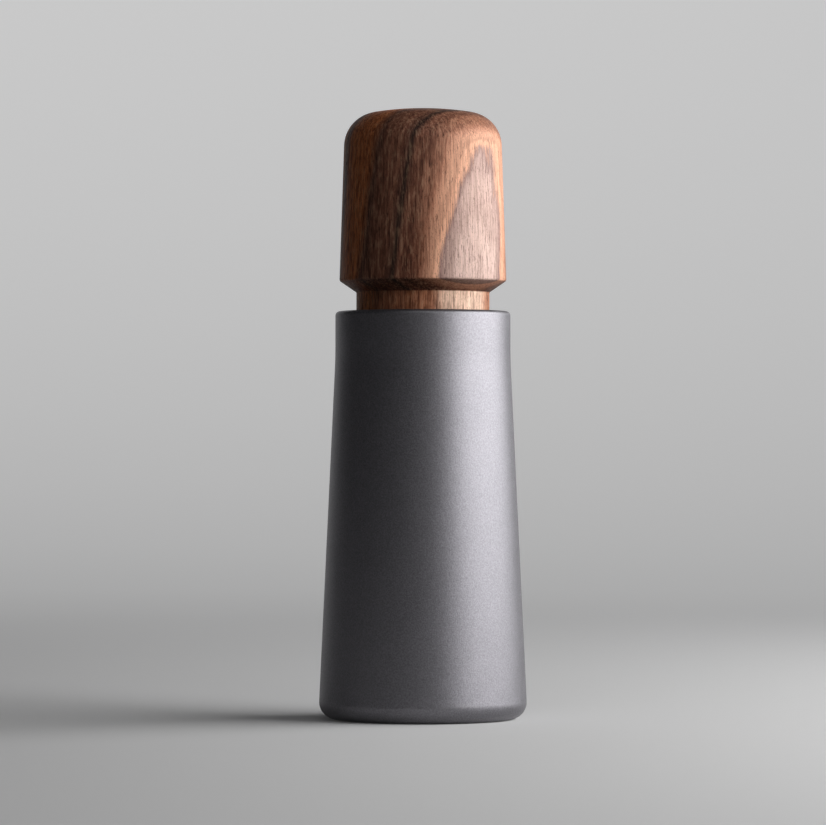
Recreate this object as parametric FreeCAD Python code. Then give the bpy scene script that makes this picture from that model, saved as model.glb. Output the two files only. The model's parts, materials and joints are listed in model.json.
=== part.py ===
# Pepper mill: a turned wooden knob on a tapered aluminium body, with an adjustable ceramic burr mechanism.
# Millimetres, +Z up. The origin is on the floor, at the middle of the base.

import FreeCAD, Part
import math
import os

from FreeCAD import Vector

# Gaps between fitted faces
JOURNAL_GAP = 0.05          # turning fit of a journal or a thread, on the radius
SLIDING_GAP = 0.10          # sliding fit of a hexagon, on each flat
NECK_GAP = 0.20             # wooden neck in its bush, on the radius
SEAT_GAP = 0.05             # pieces fixed in one another, on the radius
RING_GAP = 0.08             # rubber rings to the face that they rub on
END_PLAY = 0.20             # spindle, along its axis

# Wooden knob
KNOB_HEIGHT = 51.2          # underside of the chamfer to the top
NECK_DIAMETER = 37.1
NECK_REVEAL = 5.3           # neck left bare between the rim and the knob
TENON_LENGTH = 13.0         # neck below the rim
SHOULDER_WIDTH = 4.7        # knob beyond the neck, at its lower edge
SHOULDER_CHAMFER = 3.2      # height of the chamfer under the shoulder
SIDE_DRAFT = 1.6            # knob's radius lost from its shoulder to its top
CROWN_RADIUS = 88.0         # gentle dome of the top
TOP_ROUND = 9.5             # large rounding between the top and the side
SHOULDER_ROUND = 0.9
NECK_ROUND = 0.6            # hollow corner between chamfer and neck
TENON_CHAMFER = 0.8

# Socket in the knob
SOCKET_BORE = 24.0          # diameter drilled up into the knob
SOCKET_DEPTH = 30.0         # plug above the tenon's end
SOCKET_FLANGE = 2.0         # thickness of the flange under the tenon
SOCKET_FLANGE_INSET = 1.1   # flange edge inside the tenon's edge
SOCKET_CROWN = 2.0          # closed top of the plug
SOCKET_RIB_COUNT = 12
SOCKET_RIB_DEPTH = 0.8
SOCKET_RIB_WIDTH = 2.4
SOCKET_SCREW_COUNT = 3
SOCKET_SCREW_LENGTH = 12.0
SOCKET_SCREW_SHANK = 2.4

# Rubber rings, as section diameters
NECK_SEAL_SECTION = 1.9
NECK_SEAL_DROP = 7.0        # middle of the seal below the rim
GRIP_RING_SECTION = 1.5
GRIP_RING_RISE = 6.0        # middle of the ring above the plug's lower face

# Body shell
RIM_HEIGHT = 113.5
COLLAR_HEIGHT = 12.9        # straight stretch under the rim
FLARE = 4.75                # base radius beyond the rim, with the taper carried down to the floor
TAPER_BLEND = 120.0
BASE_ROUND = 4.8
FOOT_WIDTH = 1.0            # least width of the flat ring that the mill stands on
RIM_ROUND = 1.2
LIP_EDGE_ROUND = 0.3
SHELL_WALL = 2.0
LIP_THICKNESS = 2.2

# Neck bush and chamber liner
BUSH_WALL = 1.25
BUSH_COLLAR_WALL = 0.65     # upper stretch, inside the shell's lip
BUSH_RECESS = 0.3           # bush below the rim
BUSH_HEIGHT = 12.0          # lower stretch, inside the liner
BUSH_MOUTH_CHAMFER = 0.4
LINER_WALL = 1.5
LINER_STEP = 0.8            # inner shoulder that the bush and the housing stop against
SHELL_SPACE = 0.85          # air between liner and collar
LINER_FLOOR_GAP = 0.8
LINER_FOOT_STEP = 0.15      # foot land beyond the liner's wall
LINER_FOOT_HEIGHT = 6.0

# Mechanism housing
HOUSING_WALL = 3.8
HOUSING_FLOOR_GAP = 3.4
BRIDGE_ARM_COUNT = 3
FIRST_ARM_ANGLE = 90.0      # degrees from +X
ARM_WIDTH = 4.5
ARM_HEIGHT = 5.0
HUB_WALL = 2.4
HUB_HEIGHT = 6.0
FUNNEL_WALL = 2.4           # sleeve beside the bridge, where the funnel is widest
FUNNEL_DROP = 9.0           # height of the sloping feed surface
LUG_WIDTH = 7.0
LUG_HEIGHT = 4.0
LUG_REACH = 1.1
LUG_RISE = 12.0             # lower edge of the lugs above the housing's lower end
LUG_WINDOW_GAP = 0.3

# Outlet ring
OUTLET_RING_FLOOR_GAP = 1.2
OUTLET_SLEEVE_WALL = 2.0
OUTLET_SCREW_COUNT = 3
FIRST_OUTLET_SCREW_ANGLE = 60.0     # degrees from +X, clear of the lugs' sides
OUTLET_SCREW_LENGTH = 8.0
OUTLET_SCREW_SHANK = 1.8
OUTLET_SCREW_EDGE = 0.3     # ring left outside the screws' holes
SCREW_HEAD_RATIO = 1.8      # head diameter to shank diameter
SCREW_CLEARANCE = 0.15      # through hole, on the radius

# Burrs
STATOR_HEIGHT = 12.0
STATOR_THROAT_WALL = 4.8
STATOR_DROP = 0.2           # stator's lower face below the rotor's, at the coarse setting
STATOR_FEED_FLARE = 2.3     # stator's opening at its top, beyond the throat
ROTOR_HEIGHT = 13.8
ROTOR_RIM_WALL = 2.4        # rotor's top edge beyond its bore
BAND_HEIGHT = 4.0           # fine grinding band at the bottom
BAND_FLARE = 2.0            # radius gained down the band
FINE_GAP = 0.15             # between the tips at the fine setting
ADJUST_TRAVEL = 1.6         # rotor's travel from coarse to fine
ROTOR_TOOTH_COUNT = 30
STATOR_TOOTH_COUNT = 32
FINE_TOOTH_DEPTH = 0.7
SAW_SLOPE_SHARE = 0.75      # long side of a fine tooth, as a share of its pitch
ROTOR_FLUTE_COUNT = 6
STATOR_FLUTE_COUNT = 10
FLUTE_DEPTH = 1.5
ROTOR_LAND_SHARE = 0.4      # land between the rotor's flutes, as a share of their pitch
STATOR_LAND_SHARE = 0.3
FLUTE_SIDE_SHARE = 0.15     # each sloping side of a flute
FLUTE_TWIST = 40.0          # degrees, over the rotor's feed cone
FLUTE_SECTION_COUNT = 5

# Rotor core, spindle and drive shaft
SPINDLE_HEX = 6.0           # across flats
CORE_WALL = 1.6
CORE_FLANGE_REACH = 3.6     # flange beyond the core's barrel
CORE_FLANGE = 1.2
CORE_PROUD = 0.4            # core above the rotor
CORE_FLAT_DEPTH = 0.8       # two flats that key the rotor on its core
STUD_DIAMETER = 5.0
STUD_RECESS = 0.6           # stud's end above the wheel's lower face
STUD_CHAMFER = 0.6
THREAD_RELIEF = 0.4
JOURNAL_DIAMETER = 10.0
COLLAR_DIAMETER = 14.0      # spindle's thrust collar under the bridge
COLLAR_THICKNESS = 1.5
WASHER_THICKNESS = 0.5
BUSHING_WALL = 1.5
BUSHING_FLANGE = 0.8
CIRCLIP_THICKNESS = 0.8
CIRCLIP_GROOVE_DEPTH = 0.6
CIRCLIP_REACH = 2.0
CIRCLIP_OPENING = 70.0      # degrees
SHAFT_SOCKET_DEPTH = 11.0
SHAFT_SOCKET_FLOOR = 0.5    # above the circlip
SHAFT_FIT = 0.05            # shaft in the spindle's socket, across flats
SHAFT_CHAMFER = 0.5

# Burr spring
SPRING_LENGTH = 5.6
SPRING_WIRE = 0.9
SPRING_TURN_COUNT = 3.5
SPRING_POINT_COUNT = 252    # points on the wire's middle line, for measuring its least gap
SPRING_BORE_GAP = 0.5       # inside of the coil beyond the hexagon's corners

# Adjuster
WHEEL_DIAMETER = 18.0
WHEEL_THICKNESS = 5.0
WHEEL_FLOOR_GAP = 2.0
SCALLOP_COUNT = 10
SCALLOP_RADIUS = 1.8
SCALLOP_DEPTH = 0.9
WHEEL_EDGE_ROUND = 0.6
NUT_WALL = 2.0
NUT_RECESS = 0.8            # nut's lower face inside the wheel
NUT_PROUD = 1.0             # nut's upper face above the wheel
NUT_KNURL_COUNT = 16
NUT_KNURL_DEPTH = 0.35

# Radii and heights that follow
NECK_R = NECK_DIAMETER / 2
BUSH_BORE_R = NECK_R + NECK_GAP
BUSH_R = BUSH_BORE_R + BUSH_WALL
BUSH_COLLAR_R = BUSH_BORE_R + BUSH_COLLAR_WALL
LIP_BORE_R = BUSH_COLLAR_R + SEAT_GAP
LINER_BORE_R = BUSH_R + SEAT_GAP
LINER_R = LINER_BORE_R + LINER_WALL
COLLAR_R = LINER_R + SHELL_SPACE + SHELL_WALL
BASE_R = COLLAR_R + FLARE
FOOT_OPENING_R = LINER_R + LINER_FOOT_STEP + SEAT_GAP
LIP_UNDERSIDE = RIM_HEIGHT - LIP_THICKNESS
TAPER_TOP = RIM_HEIGHT - COLLAR_HEIGHT
TENON_END = RIM_HEIGHT - TENON_LENGTH
KNOB_UNDERSIDE = RIM_HEIGHT + NECK_REVEAL
KNOB_TOP = KNOB_UNDERSIDE + KNOB_HEIGHT
SHOULDER_R = NECK_R + SHOULDER_WIDTH

WHEEL_TOP = WHEEL_FLOOR_GAP + WHEEL_THICKNESS
NUT_TOP = WHEEL_TOP + NUT_PROUD
ROTOR_BOTTOM = NUT_TOP + CORE_FLANGE
ROTOR_TOP = ROTOR_BOTTOM + ROTOR_HEIGHT
CORE_TOP = ROTOR_TOP + CORE_PROUD
STATOR_BOTTOM = ROTOR_BOTTOM - STATOR_DROP
STATOR_TOP = STATOR_BOTTOM + STATOR_HEIGHT
COLLAR_BOTTOM = CORE_TOP + SPRING_LENGTH
COLLAR_TOP = COLLAR_BOTTOM + COLLAR_THICKNESS
BUSHING_BOTTOM = COLLAR_TOP + WASHER_THICKNESS + END_PLAY
HUB_BOTTOM = BUSHING_BOTTOM + BUSHING_FLANGE
HUB_TOP = HUB_BOTTOM + HUB_HEIGHT
CIRCLIP_BOTTOM = HUB_TOP + WASHER_THICKNESS
CIRCLIP_TOP = CIRCLIP_BOTTOM + CIRCLIP_THICKNESS
SHAFT_BOTTOM = CIRCLIP_TOP + SHAFT_SOCKET_FLOOR
SPINDLE_TOP = SHAFT_BOTTOM + SHAFT_SOCKET_DEPTH
PLUG_TOP = TENON_END + SOCKET_DEPTH
PLUG_BOTTOM = TENON_END - SOCKET_FLANGE
SHAFT_TOP = PLUG_TOP - SOCKET_CROWN

HOUSING_R = LINER_BORE_R - SEAT_GAP
STATOR_SEAT_R = HOUSING_R - HOUSING_WALL
STATOR_R = STATOR_SEAT_R - SEAT_GAP
THROAT_R = STATOR_R - STATOR_THROAT_WALL
STATOR_MOUTH_R = THROAT_R + BAND_FLARE
STATOR_FEED_R = THROAT_R + STATOR_FEED_FLARE
COARSE_GAP = FINE_GAP + ADJUST_TRAVEL * BAND_FLARE / BAND_HEIGHT
OUTLET_BORE_R = STATOR_R - OUTLET_SLEEVE_WALL
HEX_CORNER_R = SPINDLE_HEX / 2 / math.cos(math.pi / 6)
CORE_HEX = SPINDLE_HEX + 2 * SLIDING_GAP
CORE_R = CORE_HEX / 2 / math.cos(math.pi / 6) + CORE_WALL
ROTOR_BORE_R = CORE_R + SEAT_GAP
STUD_R = STUD_DIAMETER / 2
JOURNAL_R = JOURNAL_DIAMETER / 2
BUSHING_BORE_R = JOURNAL_R + JOURNAL_GAP
BUSHING_R = BUSHING_BORE_R + BUSHING_WALL
HUB_BORE_R = BUSHING_R + SEAT_GAP
HUB_R = HUB_BORE_R + HUB_WALL
NUT_BORE_R = STUD_R + JOURNAL_GAP
NUT_R = NUT_BORE_R + NUT_WALL
SHAFT_HEX = SPINDLE_HEX - SHAFT_FIT
SHAFT_CORNER_R = SHAFT_HEX / 2 / math.cos(math.pi / 6)
OUTLET_SCREW_HEAD_R = OUTLET_SCREW_SHANK * SCREW_HEAD_RATIO / 2
OUTLET_SCREW_CIRCLE_R = HOUSING_R - OUTLET_SCREW_EDGE - SCREW_CLEARANCE - OUTLET_SCREW_HEAD_R
SOCKET_SCREW_CIRCLE_R = (SOCKET_BORE / 2 + NECK_R - NECK_SEAL_SECTION) / 2


# Shapes used by several pieces

def outline(corners):
    """Closed wire in the XZ plane through (radius, height) or (radius, height, rounding) corners."""
    places = [Vector(corner[0], 0, corner[1]) for corner in corners]
    roundings = [corner[2] if len(corner) > 2 else 0 for corner in corners]
    count = len(corners)
    stops = []
    for k, here in enumerate(places):
        back = (places[k - 1] - here).normalize()
        onward = (places[(k + 1) % count] - here).normalize()
        half_angle = back.getAngle(onward) / 2
        setback = roundings[k] / math.tan(half_angle)
        bisector = (back + onward).normalize() if roundings[k] else Vector()
        depth = roundings[k] / math.sin(half_angle) - roundings[k]
        stops.append((here + back * setback, here + bisector * depth, here + onward * setback))
    edges = []
    for k, (arc_start, arc_middle, arc_end) in enumerate(stops):
        if roundings[k]:
            edges.append(Part.Arc(arc_start, arc_middle, arc_end).toShape())
        next_start = stops[(k + 1) % count][0]
        if arc_end.distanceToPoint(next_start) > 1e-7:
            edges.append(Part.LineSegment(arc_end, next_start).toShape())
    return Part.Wire(edges)


def turned(corners, angle=360):
    """Solid of revolution about the mill's axis, from a half section."""
    return Part.Face(outline(corners)).revolve(Vector(), Vector(0, 0, 1), angle)


def tube(inner, outer, bottom, top):
    return turned([(inner, bottom), (outer, bottom), (outer, top), (inner, top)])


def rod(radius, bottom, top):
    return Part.makeCylinder(radius, top - bottom, Vector(0, 0, bottom))


def hexagon(across_flats, bottom, top):
    corner = across_flats / 2 / math.cos(math.pi / 6)
    points = [Vector(corner * math.cos(k * math.pi / 3), corner * math.sin(k * math.pi / 3), bottom)
              for k in range(7)]
    return Part.Face(Part.makePolygon(points)).extrude(Vector(0, 0, top - bottom))


def block(x_low, x_high, width, bottom, top):
    """Box on the X axis, centred across it."""
    return Part.makeBox(x_high - x_low, width, top - bottom, Vector(x_low, -width / 2, bottom))


def around(shape, count, first=0.0):
    """Copies of a shape, evenly spaced about the mill's axis."""
    copies = []
    for k in range(count):
        copy = shape.copy()
        copy.rotate(Vector(), Vector(0, 0, 1), first + 360 * k / count)
        copies.append(copy)
    return copies


def torus(middle_radius, section_diameter, height):
    return Part.makeTorus(middle_radius, section_diameter / 2, Vector(0, 0, height))


def countersunk_screw(circle_radius, head_face, shank, length, gap=0.0):
    """Flat-headed screw on its circle, or with a gap, the hole that it needs."""
    shank_r = shank / 2 + gap
    head_r = shank * SCREW_HEAD_RATIO / 2 + gap
    section = [(0, 0), (head_r, 0), (shank_r, head_r - shank_r), (shank_r, length), (0, length)]
    screw = turned(section)
    screw.translate(Vector(circle_radius, 0, head_face))
    return screw


def toothed_wire(height, teeth, points, turn=0.0):
    """Closed polygon about the axis: each tooth runs through (radius, share of the pitch) points."""
    pitch = 2 * math.pi / teeth
    corners = []
    for k in range(teeth):
        for radius, share in points:
            angle = math.radians(turn) + (k + share) * pitch
            corners.append(Vector(radius * math.cos(angle), radius * math.sin(angle), height))
    return Part.makePolygon(corners + corners[:1])


def flute(tip, root, land_share):
    """Points of one land and the flute after it, for a toothed wire."""
    land = [(tip, 0), (tip, land_share / 2), (tip, land_share)]
    return land + [(root, land_share + FLUTE_SIDE_SHARE), (root, 1 - FLUTE_SIDE_SHARE)]


# Knob and what is fixed in it

def knob():
    top_r = SHOULDER_R - SIDE_DRAFT
    tenon_r = NECK_R - TENON_CHAMFER
    seal_height = RIM_HEIGHT - NECK_SEAL_DROP
    groove_r = BUSH_BORE_R - RING_GAP - NECK_SEAL_SECTION - SEAT_GAP
    groove_half = NECK_SEAL_SECTION / 2 + SEAT_GAP
    bore_r = SOCKET_BORE / 2
    blank = turned([
        (0, TENON_END), (tenon_r, TENON_END), (NECK_R, TENON_END + TENON_CHAMFER),
        (NECK_R, KNOB_UNDERSIDE, NECK_ROUND),
        (SHOULDER_R, KNOB_UNDERSIDE + SHOULDER_CHAMFER, SHOULDER_ROUND),
        (top_r, KNOB_TOP), (0, KNOB_TOP),
    ])
    crown = Part.makeSphere(CROWN_RADIUS, Vector(0, 0, KNOB_TOP - CROWN_RADIUS))
    crowned = blank.common(crown)
    round_low = KNOB_TOP - TOP_ROUND
    top_edges = [edge for edge in crowned.Edges if edge.isClosed() and edge.BoundBox.ZMin > round_low]
    rounded = crowned.makeFillet(TOP_ROUND, top_edges)
    seal_groove = tube(groove_r, BUSH_BORE_R, seal_height - groove_half, seal_height + groove_half)
    socket_bore = rod(bore_r, TENON_END, PLUG_TOP + SEAT_GAP)
    screw_holes = around(countersunk_screw(SOCKET_SCREW_CIRCLE_R, PLUG_BOTTOM, SOCKET_SCREW_SHANK,
                                           SOCKET_SCREW_LENGTH, gap=SEAT_GAP), SOCKET_SCREW_COUNT)
    return rounded.cut([seal_groove, socket_bore] + screw_holes)


def knob_socket():
    plug_r = SOCKET_BORE / 2 - SEAT_GAP
    flange_r = NECK_R - SOCKET_FLANGE_INSET
    ring_height = PLUG_BOTTOM + GRIP_RING_RISE
    ring_middle_r = SHAFT_CORNER_R + RING_GAP + GRIP_RING_SECTION / 2
    plug = turned([(0, PLUG_BOTTOM), (flange_r, PLUG_BOTTOM), (flange_r, TENON_END),
                   (plug_r, TENON_END), (plug_r, PLUG_TOP), (0, PLUG_TOP)])
    rib_pitch = 2 * math.pi * plug_r / SOCKET_RIB_COUNT
    groove = block(plug_r - SOCKET_RIB_DEPTH, plug_r + SOCKET_RIB_DEPTH, rib_pitch - SOCKET_RIB_WIDTH,
                   TENON_END + SOCKET_RIB_DEPTH, PLUG_TOP)
    hex_bore = hexagon(SPINDLE_HEX + 2 * SLIDING_GAP, PLUG_BOTTOM, SHAFT_TOP)
    ring_groove = tube(ring_middle_r - GRIP_RING_SECTION / 2,
                       ring_middle_r + GRIP_RING_SECTION / 2 + SEAT_GAP,
                       ring_height - GRIP_RING_SECTION / 2 - SEAT_GAP,
                       ring_height + GRIP_RING_SECTION / 2 + SEAT_GAP)
    screw_holes = around(countersunk_screw(SOCKET_SCREW_CIRCLE_R, PLUG_BOTTOM, SOCKET_SCREW_SHANK,
                                           SOCKET_SCREW_LENGTH, gap=SCREW_CLEARANCE), SOCKET_SCREW_COUNT)
    return plug.cut(around(groove, SOCKET_RIB_COUNT) + [hex_bore, ring_groove] + screw_holes)


def socket_screws():
    return Part.makeCompound(around(countersunk_screw(
        SOCKET_SCREW_CIRCLE_R, PLUG_BOTTOM, SOCKET_SCREW_SHANK, SOCKET_SCREW_LENGTH), SOCKET_SCREW_COUNT))


def neck_seal():
    middle_r = BUSH_BORE_R - RING_GAP - NECK_SEAL_SECTION / 2
    return torus(middle_r, NECK_SEAL_SECTION, RIM_HEIGHT - NECK_SEAL_DROP)


def grip_ring():
    middle_r = SHAFT_CORNER_R + RING_GAP + GRIP_RING_SECTION / 2
    return torus(middle_r, GRIP_RING_SECTION, PLUG_BOTTOM + GRIP_RING_RISE)


# Body

def body_shell():
    slope = FLARE / TAPER_TOP
    wall_angle = math.pi / 2 - math.atan(slope)
    room = BASE_R - FOOT_OPENING_R - FOOT_WIDTH
    base_round = min(BASE_ROUND, room * math.tan(wall_angle / 2))
    inner_round = max(base_round - SHELL_WALL, 0)
    return turned([
        (FOOT_OPENING_R, 0), (BASE_R, 0, base_round),
        (COLLAR_R, TAPER_TOP, TAPER_BLEND), (COLLAR_R, RIM_HEIGHT, RIM_ROUND),
        (LIP_BORE_R, RIM_HEIGHT, LIP_EDGE_ROUND), (LIP_BORE_R, LIP_UNDERSIDE),
        (COLLAR_R - SHELL_WALL, LIP_UNDERSIDE), (COLLAR_R - SHELL_WALL, TAPER_TOP, TAPER_BLEND),
        (BASE_R - SHELL_WALL * (1 + slope), SHELL_WALL, inner_round), (FOOT_OPENING_R, SHELL_WALL),
    ])


def neck_bush():
    return turned([
        (BUSH_BORE_R, LIP_UNDERSIDE - BUSH_HEIGHT), (BUSH_R, LIP_UNDERSIDE - BUSH_HEIGHT),
        (BUSH_R, LIP_UNDERSIDE), (BUSH_COLLAR_R, LIP_UNDERSIDE),
        (BUSH_COLLAR_R, RIM_HEIGHT - BUSH_RECESS),
        (BUSH_BORE_R + BUSH_MOUTH_CHAMFER, RIM_HEIGHT - BUSH_RECESS),
        (BUSH_BORE_R, RIM_HEIGHT - BUSH_RECESS - BUSH_MOUTH_CHAMFER),
    ])


def lock_lugs(gap):
    """Two lugs that hold the housing in the liner, or with a gap, the windows that take them."""
    low = HOUSING_FLOOR_GAP + LUG_RISE - gap
    high = HOUSING_FLOOR_GAP + LUG_RISE + LUG_HEIGHT + gap
    reach = LINER_R if gap else HOUSING_R + LUG_REACH
    outside = rod(reach, low, high)
    lug = block(HOUSING_R - HOUSING_WALL / 2, LINER_R + LINER_WALL, LUG_WIDTH + 2 * gap, low, high)
    return [outside.common(side) for side in around(lug, 2)]


def chamber_liner():
    foot_r = LINER_R + LINER_FOOT_STEP
    foot_top = LINER_FLOOR_GAP + LINER_FOOT_HEIGHT
    bush_stop = LIP_UNDERSIDE - BUSH_HEIGHT
    bore_r = LINER_BORE_R - LINER_STEP
    wall = turned([
        (LINER_BORE_R, LINER_FLOOR_GAP), (foot_r, LINER_FLOOR_GAP), (foot_r, foot_top),
        (LINER_R, foot_top), (LINER_R, LIP_UNDERSIDE), (LINER_BORE_R, LIP_UNDERSIDE),
        (LINER_BORE_R, bush_stop), (bore_r, bush_stop), (bore_r, HUB_TOP), (LINER_BORE_R, HUB_TOP),
    ])
    return wall.cut(lock_lugs(LUG_WINDOW_GAP))


def mechanism_housing():
    funnel_r = HOUSING_R - FUNNEL_WALL
    arm_bottom = HUB_TOP - ARM_HEIGHT
    sleeve = turned([
        (STATOR_SEAT_R, HOUSING_FLOOR_GAP), (HOUSING_R, HOUSING_FLOOR_GAP), (HOUSING_R, HUB_TOP),
        (funnel_r, HUB_TOP), (funnel_r, STATOR_TOP + FUNNEL_DROP), (STATOR_FEED_R, STATOR_TOP),
        (STATOR_SEAT_R, STATOR_TOP),
    ])
    hub = tube(HUB_BORE_R, HUB_R, HUB_BOTTOM, HUB_TOP)
    arm = block(HUB_R - HUB_WALL / 2, HOUSING_R - FUNNEL_WALL / 2, ARM_WIDTH, arm_bottom, HUB_TOP)
    holes = around(countersunk_screw(OUTLET_SCREW_CIRCLE_R, OUTLET_RING_FLOOR_GAP, OUTLET_SCREW_SHANK,
                                     OUTLET_SCREW_LENGTH, gap=SEAT_GAP),
                   OUTLET_SCREW_COUNT, FIRST_OUTLET_SCREW_ANGLE)
    arms = around(arm, BRIDGE_ARM_COUNT, FIRST_ARM_ANGLE)
    return sleeve.fuse([hub] + arms + lock_lugs(0)).cut(holes).removeSplitter()


def outlet_ring():
    ring = turned([
        (OUTLET_BORE_R, OUTLET_RING_FLOOR_GAP), (HOUSING_R, OUTLET_RING_FLOOR_GAP),
        (HOUSING_R, HOUSING_FLOOR_GAP), (STATOR_R, HOUSING_FLOOR_GAP), (STATOR_R, STATOR_BOTTOM),
        (OUTLET_BORE_R, STATOR_BOTTOM),
    ])
    return ring.cut(around(countersunk_screw(
        OUTLET_SCREW_CIRCLE_R, OUTLET_RING_FLOOR_GAP, OUTLET_SCREW_SHANK,
        OUTLET_SCREW_LENGTH, gap=SCREW_CLEARANCE), OUTLET_SCREW_COUNT, FIRST_OUTLET_SCREW_ANGLE))


def outlet_screws():
    return Part.makeCompound(around(countersunk_screw(
        OUTLET_SCREW_CIRCLE_R, OUTLET_RING_FLOOR_GAP, OUTLET_SCREW_SHANK,
        OUTLET_SCREW_LENGTH), OUTLET_SCREW_COUNT, FIRST_OUTLET_SCREW_ANGLE))


def stator_burr():
    """Ceramic ring: fine saw teeth in the grinding band, and wide flutes above that draw the corns in."""
    band_top = STATOR_BOTTOM + BAND_HEIGHT

    def fine(height, tip):
        tooth = [(tip, 0), (tip + FINE_TOOTH_DEPTH, SAW_SLOPE_SHARE)]
        return toothed_wire(height, STATOR_TOOTH_COUNT, tooth)

    def feed(height, tip):
        return toothed_wire(height, STATOR_FLUTE_COUNT, flute(tip, tip + FLUTE_DEPTH, STATOR_LAND_SHARE))

    blank = rod(STATOR_R, STATOR_BOTTOM, STATOR_TOP)
    band = Part.makeLoft([fine(STATOR_BOTTOM, STATOR_MOUTH_R), fine(band_top, THROAT_R)], True, True)
    feed_top_r = STATOR_FEED_R - FLUTE_DEPTH
    funnel = Part.makeLoft([feed(band_top, THROAT_R), feed(STATOR_TOP, feed_top_r)], True, True)
    return blank.cut([band, funnel])


# Spindle, shaft and what turns with them

def spindle():
    hex_bottom = NUT_TOP + ADJUST_TRAVEL + THREAD_RELIEF
    stud_end = WHEEL_FLOOR_GAP + STUD_RECESS
    groove_r = JOURNAL_R - CIRCLIP_GROOVE_DEPTH
    collar_r = COLLAR_DIAMETER / 2
    stud = turned([(0, stud_end), (STUD_R - STUD_CHAMFER, stud_end), (STUD_R, stud_end + STUD_CHAMFER),
                   (STUD_R, hex_bottom), (0, hex_bottom)])
    journal = turned([
        (0, COLLAR_BOTTOM), (collar_r, COLLAR_BOTTOM), (collar_r, COLLAR_TOP), (JOURNAL_R, COLLAR_TOP),
        (JOURNAL_R, CIRCLIP_BOTTOM), (groove_r, CIRCLIP_BOTTOM), (groove_r, CIRCLIP_TOP),
        (JOURNAL_R, CIRCLIP_TOP), (JOURNAL_R, SPINDLE_TOP), (0, SPINDLE_TOP),
    ])
    solid = journal.fuse([stud, hexagon(SPINDLE_HEX, hex_bottom, COLLAR_BOTTOM)])
    return solid.cut(hexagon(SPINDLE_HEX, SHAFT_BOTTOM, SPINDLE_TOP)).removeSplitter()


def drive_shaft():
    """Hexagon rod with turned, chamfered ends."""
    bar = hexagon(SHAFT_HEX, SHAFT_BOTTOM, SHAFT_TOP)
    end_r = SHAFT_CORNER_R - SHAFT_CHAMFER
    ends = turned([(0, SHAFT_BOTTOM), (end_r, SHAFT_BOTTOM), (SHAFT_CORNER_R, SHAFT_BOTTOM + SHAFT_CHAMFER),
                   (SHAFT_CORNER_R, SHAFT_TOP - SHAFT_CHAMFER), (end_r, SHAFT_TOP), (0, SHAFT_TOP)])
    return bar.common(ends)


def bridge_bushing():
    return turned([
        (BUSHING_BORE_R, BUSHING_BOTTOM), (HUB_R, BUSHING_BOTTOM), (HUB_R, HUB_BOTTOM),
        (BUSHING_R, HUB_BOTTOM), (BUSHING_R, HUB_TOP), (BUSHING_BORE_R, HUB_TOP),
    ])


def thrust_washer(bottom):
    return tube(JOURNAL_R + JOURNAL_GAP, COLLAR_DIAMETER / 2, bottom, bottom + WASHER_THICKNESS)


def lower_thrust_washer():
    return thrust_washer(COLLAR_TOP)


def upper_thrust_washer():
    return thrust_washer(HUB_TOP)


def spindle_circlip():
    """Open ring sprung into the spindle's groove."""
    inner = JOURNAL_R - CIRCLIP_GROOVE_DEPTH + JOURNAL_GAP
    outer = inner + CIRCLIP_REACH
    section = [(inner, CIRCLIP_BOTTOM), (outer, CIRCLIP_BOTTOM), (outer, CIRCLIP_TOP), (inner, CIRCLIP_TOP)]
    return turned(section, 360 - CIRCLIP_OPENING)


def arc(start, corner, end):
    """Arc that leaves its start, and enters its end, along the lines to a corner."""
    middle = (start + end) * 0.5
    half_chord = start.distanceToPoint(end) / 2
    rise = corner - middle
    bend = math.atan(rise.Length / half_chord)
    return Part.Arc(start, middle + rise.normalize() * half_chord * math.tan(bend / 2), end).toShape()


def biarc(start, start_way, end, end_way):
    """Two arcs that meet smoothly between two points, with the wire's direction given at each."""
    chord = end - start
    forward = chord.dot(start_way + end_way)
    turn = 2 * (1 - start_way.dot(end_way))
    reach = (math.sqrt(forward ** 2 + turn * chord.dot(chord)) - forward) / turn
    first_corner = start + start_way * reach
    last_corner = end - end_way * reach
    meeting = (first_corner + last_corner) * 0.5
    return [arc(start, first_corner, meeting), arc(meeting, last_corner, end)]


def burr_spring():
    """Compression coil of round wire between the rotor core and the spindle's collar."""
    coil_r = HEX_CORNER_R + SPRING_BORE_GAP + SPRING_WIRE / 2
    bottom = CORE_TOP + SPRING_WIRE / 2
    pitch = (SPRING_LENGTH - SPRING_WIRE) / SPRING_TURN_COUNT

    def place(turns):
        angle = 2 * math.pi * turns
        return Vector(coil_r * math.cos(angle), coil_r * math.sin(angle), bottom + pitch * turns)

    def way(turns):
        angle = 2 * math.pi * turns
        around_axis = 2 * math.pi * coil_r
        return Vector(-around_axis * math.sin(angle), around_axis * math.cos(angle), pitch).normalize()

    quarter_count = round(4 * SPRING_TURN_COUNT)
    quarters = [SPRING_TURN_COUNT * k / quarter_count for k in range(quarter_count + 1)]
    edges = []
    for here, there in zip(quarters, quarters[1:]):
        edges += biarc(place(here), way(here), place(there), way(there))
    points = [place(quarters[-1] * k / SPRING_POINT_COUNT) for k in range(SPRING_POINT_COUNT + 1)]
    half_turn = round(SPRING_POINT_COUNT / SPRING_TURN_COUNT / 2)
    apart = [one.distanceToPoint(later) for k, one in enumerate(points) for later in points[k + half_turn:]]
    print("burr spring: least gap to itself %.2f mm" % (min(apart) - SPRING_WIRE))
    section = Part.Wire(Part.makeCircle(SPRING_WIRE / 2, place(0), way(0)))
    return Part.Wire(edges).makePipeShell([section], True, False)


# Rotor

def flatted_barrel(radius, flat, bottom, top):
    """Round barrel with two flats across X."""
    return rod(radius, bottom, top).common(block(-flat, flat, 2 * radius, bottom, top))


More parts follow.
